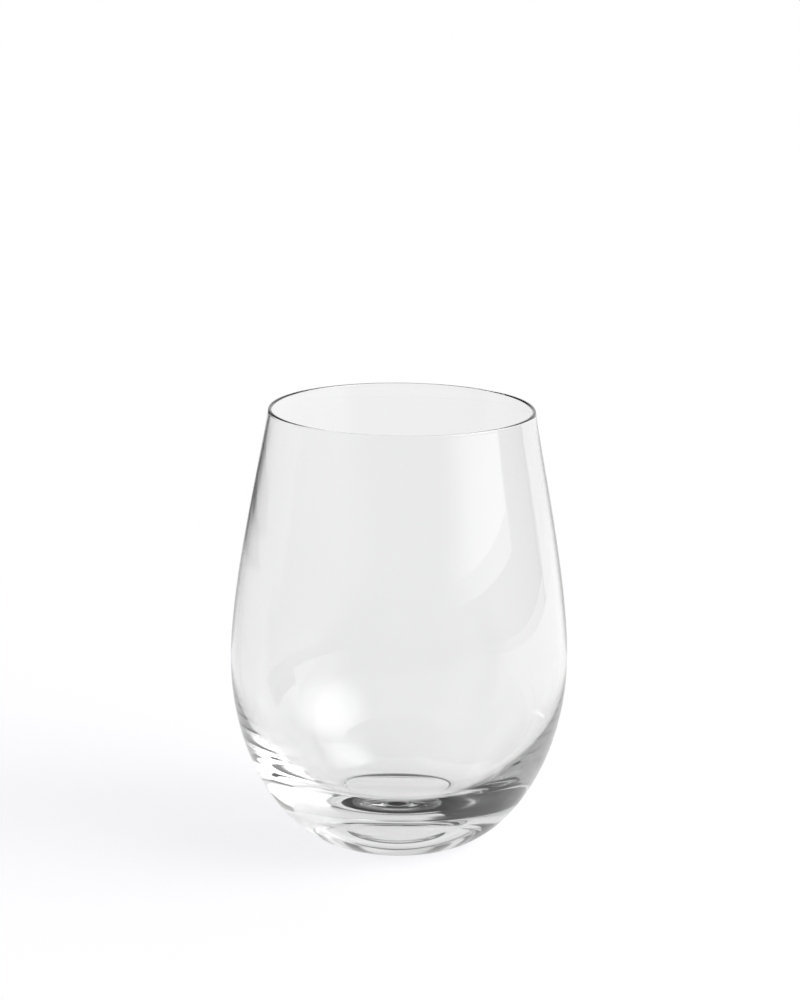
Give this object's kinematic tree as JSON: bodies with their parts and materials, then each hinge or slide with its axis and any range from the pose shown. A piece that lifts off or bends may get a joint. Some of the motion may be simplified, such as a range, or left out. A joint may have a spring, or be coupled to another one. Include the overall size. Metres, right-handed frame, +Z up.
{
  "type": "stemless wine glass",
  "caption": "Clear stemless wine glass: egg-shaped bowl on a thick glass base, with a thin rounded rim and a shallow hollow under its foot.",
  "frame": {"origin": "on the glass's axis, in the plane of the table that it stands on", "axes": "+Z up along the axis of the bowl, towards the rim; the glass is the same all round, so X and Y are any two level directions"},
  "size_m": [0.092, 0.092, 0.12],
  "materials": {
    "clear_glass": "clear and polished, with faint ring waves low in the bowl"
  },
  "bodies": {
    "root": {"glass_bowl": "clear_glass"}
  },
  "joints": []
}
